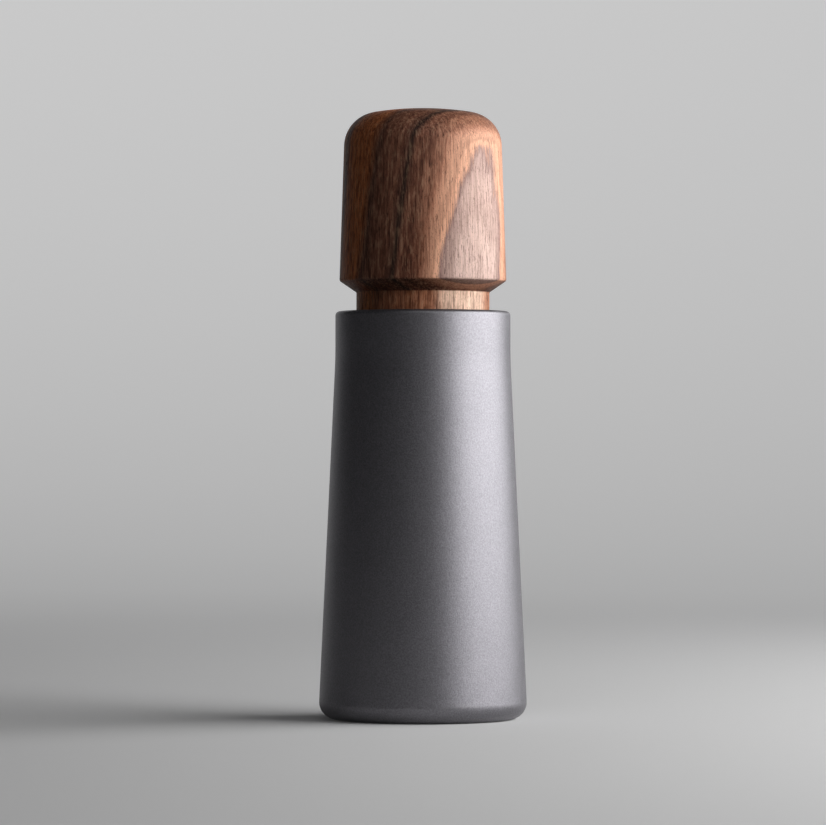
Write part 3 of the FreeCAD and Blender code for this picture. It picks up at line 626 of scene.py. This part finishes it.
def coil(wire, size):
    """Round wire wound upwards about the axis, closing up towards both ends."""
    wire_r = size["Wire_radius"]
    circles = wire.make("GeometryNodeCurveSpiral", "Curve", {
        "Resolution": 64, "Rotations": size["Turns"], "Start Radius": size["Coil_radius"],
        "End Radius": size["Coil_radius"], "Height": 0.0, "Reverse": True})
    along = wire.make("GeometryNodeSplineParameter", "Factor")
    closing = along * (1 - SPRING_CLOSED) + along.between(0.0, 1.0) * SPRING_CLOSED
    rise = closing * (size["Height"] - wire_r * 2) + wire_r + size["Bottom"]
    lift = wire.make("ShaderNodeCombineXYZ", "Vector", {"Z": rise})
    helix = wire.make("GeometryNodeSetPosition", "Geometry", {"Geometry": circles, "Offset": lift})
    section = wire.make("GeometryNodeCurvePrimitiveCircle", "Curve", {"Resolution": 24, "Radius": wire_r})
    return wire.make("GeometryNodeCurveToMesh", "Mesh", {
        "Curve": helix, "Profile Curve": section, "Fill Caps": True})


oil_tempered = finish("oil_tempered_steel", tempered_steel)
coat(oil_tempered, "spindle_circlip")
low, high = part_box("burr_spring")
spring = grown("burr_coil", oil_tempered, coil, Wire_radius=SPRING_WIRE_R, Turns=SPRING_TURNS,
               Coil_radius=high.x - SPRING_WIRE_R, Height=high.z - low.z, Bottom=low.z)
fit(spring, oil_tempered, "drive", "spring_steel", "burr_spring")
gap_travel = next(joint["range_m"][1] for joint in frame["joints"] if joint["name"] == "burr_gap")
spring_keeps = 1 - gap_travel / (high.z - low.z)
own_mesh(spring)


# Rotor core.
# A flanged acetal sleeve, moulded with a hexagon bore that slides on the spindle.
# The inner burr is pushed onto it, and two flats keep the burr from turning.

coat(moulded_acetal, "rotor_core")


# Grind adjuster.
# A scalloped nylon wheel, moulded round a knurled brass nut, runs on the spindle's thread.
# Turning it lets the rotor core above it up or down, which opens or closes the gap between the burrs.

coat(moulded_nylon, "adjuster_wheel")
coat(turned_brass, "adjuster_nut")


# Drive shaft.
# A drawn hexagon rod of aluminium with turned ends, pressed into the top of the spindle.
# It stands up through the pepper, and takes the knob's turning down to the burr.

DRAWN_DARK = (0.470, 0.470, 0.475)
DRAWN_LIGHT = (0.720, 0.720, 0.725)
DRAWN_BRUISE = (0.300, 0.300, 0.300)


def drawn_aluminium(place):
    """Die lines along the rod, with dull spots where its skin is bruised."""
    lines = place.stretched(1, 1, 0.012).noise(3600, 3.0, 0.6)
    clouds = place.noise(210, 3.0)
    bruises = place.noise(900, 2.0, 0.6).between(0.62, 0.76)
    tone = place.mix((lines * 0.65 + clouds * 0.35).between(0.32, 0.68), DRAWN_DARK, DRAWN_LIGHT)
    return {
        "Base Color": place.mix(bruises * 0.30, tone, DRAWN_BRUISE),
        "Metallic": 1.0,
        "Roughness": 0.24 + lines * 0.20 + bruises * 0.12,
        "Normal": lines.bump(0.30, 0.00004),
    }


coat(finish("drawn_aluminium", drawn_aluminium), "drive_shaft")


# Knob.
# Head, neck and tenon are turned from one piece of walnut, with the grain upright, and oiled to a satin.
# The tenon stands in the neck bush, and pulls out of it against two rubber rings.

KNOB_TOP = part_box("knob")[1].z
KNOB_TENON_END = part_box("knob")[0].z
KNOB_NECK_R = 0.01855
KNOB_NECK_SHOWN = 0.0053            # the neck between the rim and the knob's underside
KNOB_UNDERSIDE = SHELL_RIM + KNOB_NECK_SHOWN
KNOB_SHOULDER_R = 0.02325
KNOB_FLARE = 0.0032                 # the sloping underside, from the neck up to the shoulder
KNOB_SHOULDER = KNOB_UNDERSIDE + KNOB_FLARE
KNOB_TOP_R = 0.02165
KNOB_CROWN_R = 0.088
KNOB_TOP_ROUND = 0.0095
KNOB_SHOULDER_ROUND = 0.0009
KNOB_NECK_ROUND = 0.0006
KNOB_TENON_CHAMFER = 0.0008
KNOB_BORE_R = 0.0120
KNOB_BORE_CLEARANCE = 0.00005       # between the top of the socket and the wood
KNOB_BORE_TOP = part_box("knob_socket")[1].z + KNOB_BORE_CLEARANCE
SEAL_GROOVE_R = 0.01672
SEAL_GROOVE_HALF = 0.0010
SEAL_DEPTH = 0.0070                 # the middle of the groove, below the rim
SEAL_HEIGHT = SHELL_RIM - SEAL_DEPTH
TOP_ROUND_STEPS = 24
CROWN_STEPS = 12


def crowned_top(side_low, side_high):
    """Outline from the knob's side, round its shoulder and over the crown to the axis."""
    along = (side_high - side_low).normalized()
    inward = Vector((-along.y, along.x))
    crown_centre = Vector((0, KNOB_TOP - KNOB_CROWN_R))
    inner = side_low + inward * KNOB_TOP_ROUND - crown_centre
    reach = KNOB_CROWN_R - KNOB_TOP_ROUND
    run = -inner.dot(along) + math.sqrt(inner.dot(along) ** 2 - inner.length_squared + reach ** 2)
    round_centre = crown_centre + inner + along * run
    first = (-inward).angle_signed(Vector((1, 0)))
    last = (round_centre - crown_centre).angle_signed(Vector((1, 0)))
    points = []
    for step in range(TOP_ROUND_STEPS + 1):
        angle = first + (last - first) * step / TOP_ROUND_STEPS
        points.append(round_centre + KNOB_TOP_ROUND * Vector((math.cos(angle), math.sin(angle))))
    for step in range(1, CROWN_STEPS + 1):
        angle = last + (math.pi / 2 - last) * step / CROWN_STEPS
        points.append(crown_centre + KNOB_CROWN_R * Vector((math.cos(angle), math.sin(angle))))
    return points


# The growth rings twist as they rise: they show as stripes at the front's left, and arch at its right.
# Lengths in the wood are in millimetres, and the twist and the lean are counted from GRAIN_LEVEL.
# A depth is how far out across the rings a place lies, and a pair runs from none of a feature to all of it.

GRAIN_LEVEL = 143.0
GRAIN_FACING = math.radians(47)     # where the rings lie flat to the surface, from the front to the right
GRAIN_TWIST = math.radians(0.30)    # for each millimetre up
GRAIN_LEAN = 0.012
PITH_DISTANCE = 60.0                # from the knob's axis to the heart of the tree
PITH_SHIFT = -2.55
RING_WIDTH = 2.1
CROWN_HEIGHT = (157.5, 166.0)       # where the rings close over the top
CROWN_DEPTH = (17.5, 22.5)
CROWN_SHIFT = 3.0
HEARTWOOD_DEPTH = (20.5, 17.5)      # the dark wood, with coarser flecks
SAPWOOD_AND_HIGHLIGHT_DEPTH = (16.4, 18.5)        # the light wood on the neck, with a painted highlight over it on its lit side
FOOT_HEIGHT = (146.0, 125.0)        # the wood beside the pale patch, darker towards the shoulder
FOOT_DEPTH_IN = (14.5, 17.0)
FOOT_DEPTH_OUT = (20.6, 18.8)
PATCH_HIGHLIGHT_HEIGHT = (126.0, 154.0)      # the pale patch, with a painted highlight that grows as it rises
PATCH_HIGHLIGHT_DEPTH = (21.5, 22.5)
NECK_BLUR = 0.2
CHAMFER_ABOVE = 0.1                 # the painted shade on the sloping underside, from above the shoulder to below it
CHAMFER_BELOW = 0.4
RED_BROWN = (0.620, 0.196, 0.068)
BROWN = (0.240, 0.096, 0.058)
DARK_BROWN = (0.175, 0.076, 0.050)
VEIN = (0.045, 0.021, 0.015)
CHESTNUT = (0.510, 0.225, 0.135)
AMBER = (0.850, 0.450, 0.290)
SMOKE = (0.340, 0.200, 0.172)
PALE = (0.685, 0.480, 0.412)
PALE_WITH_HIGHLIGHT = (0.830, 0.580, 0.495)
SAPWOOD_AND_HIGHLIGHT = (0.950, 0.670, 0.505)
FIGURE_FROM = -24.0
FIGURE_TO = 26.0
FIGURE = [                          # depth across the rings and the wood there, with both ends first
    (FIGURE_FROM, RED_BROWN), (FIGURE_TO, PALE), (-15.0, BROWN), (-11.5, RED_BROWN), (-9.0, DARK_BROWN),
    (-8.0, BROWN), (-5.8, RED_BROWN), (2.6, RED_BROWN), (5.2, DARK_BROWN), (7.3, BROWN), (11.2, BROWN),
    (12.6, DARK_BROWN), (13.2, VEIN), (13.7, VEIN), (14.1, DARK_BROWN), (14.8, BROWN), (17.0, BROWN),
    (18.8, CHESTNUT), (20.3, AMBER), (21.3, AMBER), (21.7, SMOKE), (22.7, PALE),
]
FOOT_TINT = (0.520, 0.440, 0.410)
UNDERSIDE_SHADE_TINT = (0.460, 0.400, 0.370)
LATE_WOOD_TINT = (0.500, 0.440, 0.420)
FIBRE_TINT = (0.420, 0.380, 0.360)
FIBRE_GLOW = (0.750, 0.460, 0.280)
STREAK_TINT = (0.520, 0.460, 0.440)
FLECK_TINT = (0.360, 0.300, 0.280)
PORE_TINT = (0.160, 0.120, 0.110)
SPECK_TINT = (0.200, 0.150, 0.130)


def ring_depth(x, y, z, waver):
    """How far out from the heart of the tree a place lies, from 0 at the knob's axis."""
    rise = z - GRAIN_LEVEL
    facing = rise * GRAIN_TWIST + GRAIN_FACING
    right = x.sum("SINE", facing)
    back = x.sum("COSINE", facing)
    outward = x * right - y * back + PITH_DISTANCE - rise * GRAIN_LEAN
    sideways = x * back + y * right
    depth = (outward * outward + sideways * sideways) ** 0.5 - PITH_DISTANCE + waver + PITH_SHIFT
    closing = z.between(*CROWN_HEIGHT) * depth.between(*CROWN_DEPTH)
    return depth - closing * CROWN_SHIFT


def walnut(place):
    """Solid wood: rings round a distant heart, with fibres and open pores drawn out along the grain, and
    painted light and shade on the neck, the underside and the pale patch.
    """
    mm = place.stretched(1000, 1000, 1000)
    x, y, z = mm.parts()
    sway = mm.stretched(1, 1, 0.45).noise(0.055, 2.0) * 3.4
    ripple = mm.stretched(1, 1, 0.18).noise(0.30, 2.0) * 0.8
    quiver = mm.stretched(1, 1, 0.10).noise(1.7, 2.0) * 0.9
    depth = ring_depth(x, y, z, sway + (ripple + quiver))
    span = FIGURE_TO - FIGURE_FROM
    stops = [((at - FIGURE_FROM) / span, colour) for at, colour in FIGURE]
    figure = mm.make("ShaderNodeValToRGB", "Color", {"Fac": (depth - FIGURE_FROM) / span}, stops=stops)
    underside = KNOB_UNDERSIDE * 1000
    shoulder = KNOB_SHOULDER * 1000
    neck = z.between(underside + NECK_BLUR, underside - NECK_BLUR)
    chamfer_shade = z.between(shoulder + CHAMFER_ABOVE, shoulder - CHAMFER_BELOW) * (1 - neck)
    ring = mm.sum("FRACT", depth / RING_WIDTH)
    late = ring.between(0.30, 0.85) * ring.between(1.0, 0.85)
    fibres = mm.stretched(1, 1, 0.035).noise(3.0, 3.0, 0.65)
    streaks = mm.stretched(1, 1, 0.02).noise(0.9, 2.0, 0.55)
    flecks = mm.stretched(1, 1, 0.24).noise(1.25, 2.0, 0.55)
    heartwood = depth.between(*HEARTWOOD_DEPTH)
    beside = depth.between(*FOOT_DEPTH_IN) * depth.between(*FOOT_DEPTH_OUT)
    foot = z.between(*FOOT_HEIGHT) * beside * (1 - neck)
    pores = mm.stretched(1, 1, 0.12).noise(3.1, 1.0, 0.4).between(0.63, 0.71)
    specks = mm.stretched(1, 1, 0.38).noise(4.6, 1.0, 0.4).between(0.60, 0.69)
    patch_highlight = depth.between(*PATCH_HIGHLIGHT_DEPTH) * z.between(*PATCH_HIGHLIGHT_HEIGHT)
    # Painted highlight: the pale patch is made paler towards its top, standing for the light that falls
    # there.
    tone = mm.mix(patch_highlight, figure, PALE_WITH_HIGHLIGHT)
    # Painted light: the whole neck is lightened, standing for light that the knob's overhang keeps off it.
    tone = mm.mix(neck * 0.35, tone, RED_BROWN, "SCREEN")
    # Partly real light wood, made paler still by a painted highlight on the neck's side that faces the key
    # lamp.
    tone = mm.mix(neck * depth.between(*SAPWOOD_AND_HIGHLIGHT_DEPTH) * 0.92, tone, SAPWOOD_AND_HIGHLIGHT)
    tone = mm.mix(foot * 0.85, tone, FOOT_TINT, "MULTIPLY")
    # Painted shade: the sloping underside is darkened, standing for the shade under the knob's shoulder.
    tone = mm.mix(chamfer_shade, tone, UNDERSIDE_SHADE_TINT, "MULTIPLY")
    tone = mm.mix(late * 0.45, tone, LATE_WOOD_TINT, "MULTIPLY")
    tone = mm.mix(fibres.between(0.46, 0.68) * (heartwood * 0.22 + 0.62), tone, FIBRE_TINT, "MULTIPLY")
    tone = mm.mix(fibres.between(0.48, 0.28) * 0.22, tone, FIBRE_GLOW, "SCREEN")
    tone = mm.mix(streaks.between(0.45, 0.70) * 0.35, tone, STREAK_TINT, "MULTIPLY")
    tone = mm.mix(flecks.between(0.48, 0.68) * heartwood * 0.60, tone, FLECK_TINT, "MULTIPLY")
    tone = mm.mix(flecks.between(0.50, 0.32) * heartwood * 0.16, tone, FIBRE_GLOW, "SCREEN")
    tone = mm.mix(pores * 0.62, tone, PORE_TINT, "MULTIPLY")
    return {
        "Base Color": mm.mix(specks * 0.45, tone, SPECK_TINT, "MULTIPLY"),
        "Roughness": 0.46 + fibres * 0.12 + pores * 0.2,
        "Normal": (fibres * 0.5 - pores * 0.8 - specks * 0.4).bump(0.35, 0.00010),
        "Specular IOR Level": 0.20,
    }


side_low = Vector((KNOB_SHOULDER_R, KNOB_SHOULDER))
side_high = Vector((KNOB_TOP_R, KNOB_TOP))
neck_and_bore = half_section([
    (0, KNOB_BORE_TOP), (KNOB_BORE_R, KNOB_BORE_TOP), (KNOB_BORE_R, KNOB_TENON_END),
    (KNOB_NECK_R - KNOB_TENON_CHAMFER, KNOB_TENON_END), (KNOB_NECK_R, KNOB_TENON_END + KNOB_TENON_CHAMFER),
    (KNOB_NECK_R, SEAL_HEIGHT - SEAL_GROOVE_HALF), (SEAL_GROOVE_R, SEAL_HEIGHT - SEAL_GROOVE_HALF),
    (SEAL_GROOVE_R, SEAL_HEIGHT + SEAL_GROOVE_HALF), (KNOB_NECK_R, SEAL_HEIGHT + SEAL_GROOVE_HALF),
    (KNOB_NECK_R, KNOB_UNDERSIDE, KNOB_NECK_ROUND),
    (KNOB_SHOULDER_R, KNOB_SHOULDER, KNOB_SHOULDER_ROUND), tuple(side_high), (0, KNOB_TOP),
])
# The last two corners only guide the shoulder's rounding, and the crowned top takes their place.
knob_section = neck_and_bore[:-2] + crowned_top(side_low, side_high)
knob = turned("walnut_knob", knob_section, SHOWN_SEGMENTS)
fit(knob, finish("walnut", walnut), "head", "walnut", "knob")


# Knob socket.
# A ribbed nylon plug with a hexagon bore, pushed up into the tenon, which slides on the drive shaft.
# Its flange covers the end of the tenon.

coat(moulded_nylon, "knob_socket")


# Socket screws.
# Three flat-headed screws of plated steel, made like the outlet screws but larger.
# They hold the socket's flange to the end of the tenon.

SOCKET_SCREW_SHANK_R = 0.0012

low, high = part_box("socket_screws")
socket_screws = grown("socket_screw_set", screw_steel, screw_set, Shank_radius=SOCKET_SCREW_SHANK_R,
                      Length=high.z - low.z, Circle_radius=high.x - SOCKET_SCREW_SHANK_R * SCREW_HEAD_RATIO,
                      Count=3, First_angle=0.0, Head_face=low.z)
fit(socket_screws, screw_steel, "head", "steel", "socket_screws")


# Neck seal and grip ring.
# Two rubber rings, moulded in split tools that leave a fine line of flash round the middle of each.
# One lies in the tenon's groove and drags in the bush, and the other grips the shaft inside the socket.

RUBBER_DARK = (0.016, 0.016, 0.017)
RUBBER_LIGHT = (0.040, 0.039, 0.039)
RUBBER_BLOOM = (0.100, 0.100, 0.100)
FLASH_HALF = 0.00006
RING_POINTS = 32                    # round the section
RING_SEGMENTS = 192


def o_ring(name, node):
    """Round section turned about the axis, filling the box of its node."""
    low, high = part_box(node)
    section_r = (high.z - low.z) / 2
    middle_r = high.x - section_r
    middle = (high.z + low.z) / 2
    angles = [2 * math.pi * k / RING_POINTS for k in range(RING_POINTS)]
    section = [(middle_r + section_r * math.cos(a), middle + section_r * math.sin(a)) for a in angles]
    ring = turned(name, section, RING_SEGMENTS)

    def rubber(place):
        """Dull moulded rubber: fine skin, dusty bloom and the tool's line of flash."""
        skin = place.noise(2400, 2.0, 0.6)
        bloom = place.noise(330, 3.0, 0.6).between(0.50, 0.75)
        height = place.sum("ABSOLUTE", place.parts()[2] - middle)
        flash = height.between(FLASH_HALF, FLASH_HALF / 3)
        tone = place.mix((skin * 0.6 + bloom * 0.4).between(0.25, 0.65), RUBBER_DARK, RUBBER_LIGHT)
        return {
            "Base Color": place.mix(bloom * 0.25, tone, RUBBER_BLOOM),
            "Roughness": 0.52 + skin * 0.16 + bloom * 0.12,
            "Normal": (skin * 0.4 + flash).bump(0.35, 0.00005),
        }

    fit(ring, finish(name + "_rubber", rubber), "head", "rubber", node)


o_ring("neck_o_ring", "neck_seal")
o_ring("grip_o_ring", "grip_ring")


# Studio.
# A roll of pale paper lies under the mill and sweeps up behind it, in a dim room.
# A large soft box stands at the mill's right, and a weak one hangs in front, above the camera.

PAPER_WIDTH = 3.0
PAPER_FRONT = -1.6
PAPER_BACK = 2.1
PAPER_HEIGHT = 1.5
PAPER_SWEEP = 1.3
SWEEP_STEPS = 16
PAPER_PALE = (0.62, 0.62, 0.62)
PAPER_DIM = (0.14, 0.14, 0.14)
PAPER_GLOW = (0.55, 0.55, 0.55)     # as if the far end of the studio had its own lamp
PAPER_GLOW_FROM = -0.3
ROOM = (0.035, 0.035, 0.037)


def paper(place):
    """Pale as the camera, gloss and glass see it, and dimmer in the light that it sends back up."""
    camera, gloss, glass = (place.make("ShaderNodeLightPath", "Is %s Ray" % ray)
                            for ray in ("Camera", "Glossy", "Transmission"))
    seen = place.sum("MAXIMUM", place.sum("MAXIMUM", camera, gloss), glass)
    far = place.parts()[1].between(PAPER_GLOW_FROM, PAPER_BACK)
    return {
        "Base Color": place.mix(seen, PAPER_DIM, PAPER_PALE),
        "Roughness": 0.9,
        "Specular IOR Level": 0.1,
        "Emission Color": place.mix(seen * far, (0, 0, 0), PAPER_GLOW),
        "Emission Strength": 1.0,
    }


sheet = bmesh.new()
outline = [(PAPER_FRONT, 0.0)]
for step in range(SWEEP_STEPS + 1):
    angle = math.pi / 2 * step / SWEEP_STEPS
    back = PAPER_BACK - PAPER_SWEEP * (1 - math.sin(angle))
    outline.append((back, PAPER_SWEEP * (1 - math.cos(angle))))
outline.append((PAPER_BACK, PAPER_HEIGHT))
left = [sheet.verts.new((-PAPER_WIDTH / 2, y, z)) for y, z in outline]
right = [sheet.verts.new((PAPER_WIDTH / 2, y, z)) for y, z in outline]
for k in range(len(outline) - 1):
    sheet.faces.new((left[k], right[k], right[k + 1], left[k + 1]))
sheet_mesh = bpy.data.meshes.new("paper_sweep")
sheet.to_mesh(sheet_mesh)
sheet.free()
sheet_mesh.materials.append(finish("studio_paper", paper))
placed("paper_sweep", sheet_mesh)

world = bpy.data.worlds.new("dim_room")
world.use_nodes = True
world.node_tree.nodes["Background"].inputs["Color"].default_value = (*ROOM, 1)
bpy.context.scene.world = world


def soft_box(name, place, aim, width, height, power):
    """Area lamp that looks from its place at a point near the mill."""
    lamp = bpy.data.lights.new(name, "AREA")
    lamp.shape = "RECTANGLE"
    lamp.size = width
    lamp.size_y = height
    lamp.energy = power
    box = bpy.data.objects.new(name, lamp)
    facing = (Vector(aim) - Vector(place)).to_track_quat("-Z", "Y")
    box.matrix_world = Matrix.LocRotScale(Vector(place), facing, None)
    bpy.context.scene.collection.objects.link(box)


soft_box("key_box", place=(0.556, -0.068, 0.27), aim=(0, 0, 0.11), width=1.02, height=0.5, power=8.3)
soft_box("top_box", place=(0.10, -0.90, 0.95), aim=(0, 0, 0.10), width=0.7, height=0.5, power=1.25)


# Camera.
# It stands level with the body, far off with a long lens, and looks up a very little.
# Its lens and its turn come from the mill's size and place in the photograph.

CAMERA_PLACE = Vector((0, -1.25, 0.076))
PHOTO_SIZE = Vector((826, 825))
FOCAL_PIXELS = 4485
AXIS_PIXEL = 422.9                  # the mill's axis, from the left of the photograph
HORIZON_PIXEL = 446.0               # the camera's own level, from its top

camera = bpy.data.cameras.new("camera")
camera.sensor_width = 36.0
camera.lens = FOCAL_PIXELS / PHOTO_SIZE.x * camera.sensor_width
camera.clip_start = 0.05
camera_object = bpy.data.objects.new("camera", camera)
camera_object.location = CAMERA_PLACE
pan = math.atan((AXIS_PIXEL - PHOTO_SIZE.x / 2) / FOCAL_PIXELS)
tilt = math.atan((HORIZON_PIXEL - PHOTO_SIZE.y / 2) / FOCAL_PIXELS)
camera_object.rotation_euler = (math.pi / 2 + tilt, 0, pan)
bpy.context.scene.collection.objects.link(camera_object)
bpy.context.scene.camera = camera_object
bpy.context.scene.view_settings.view_transform = "Standard"
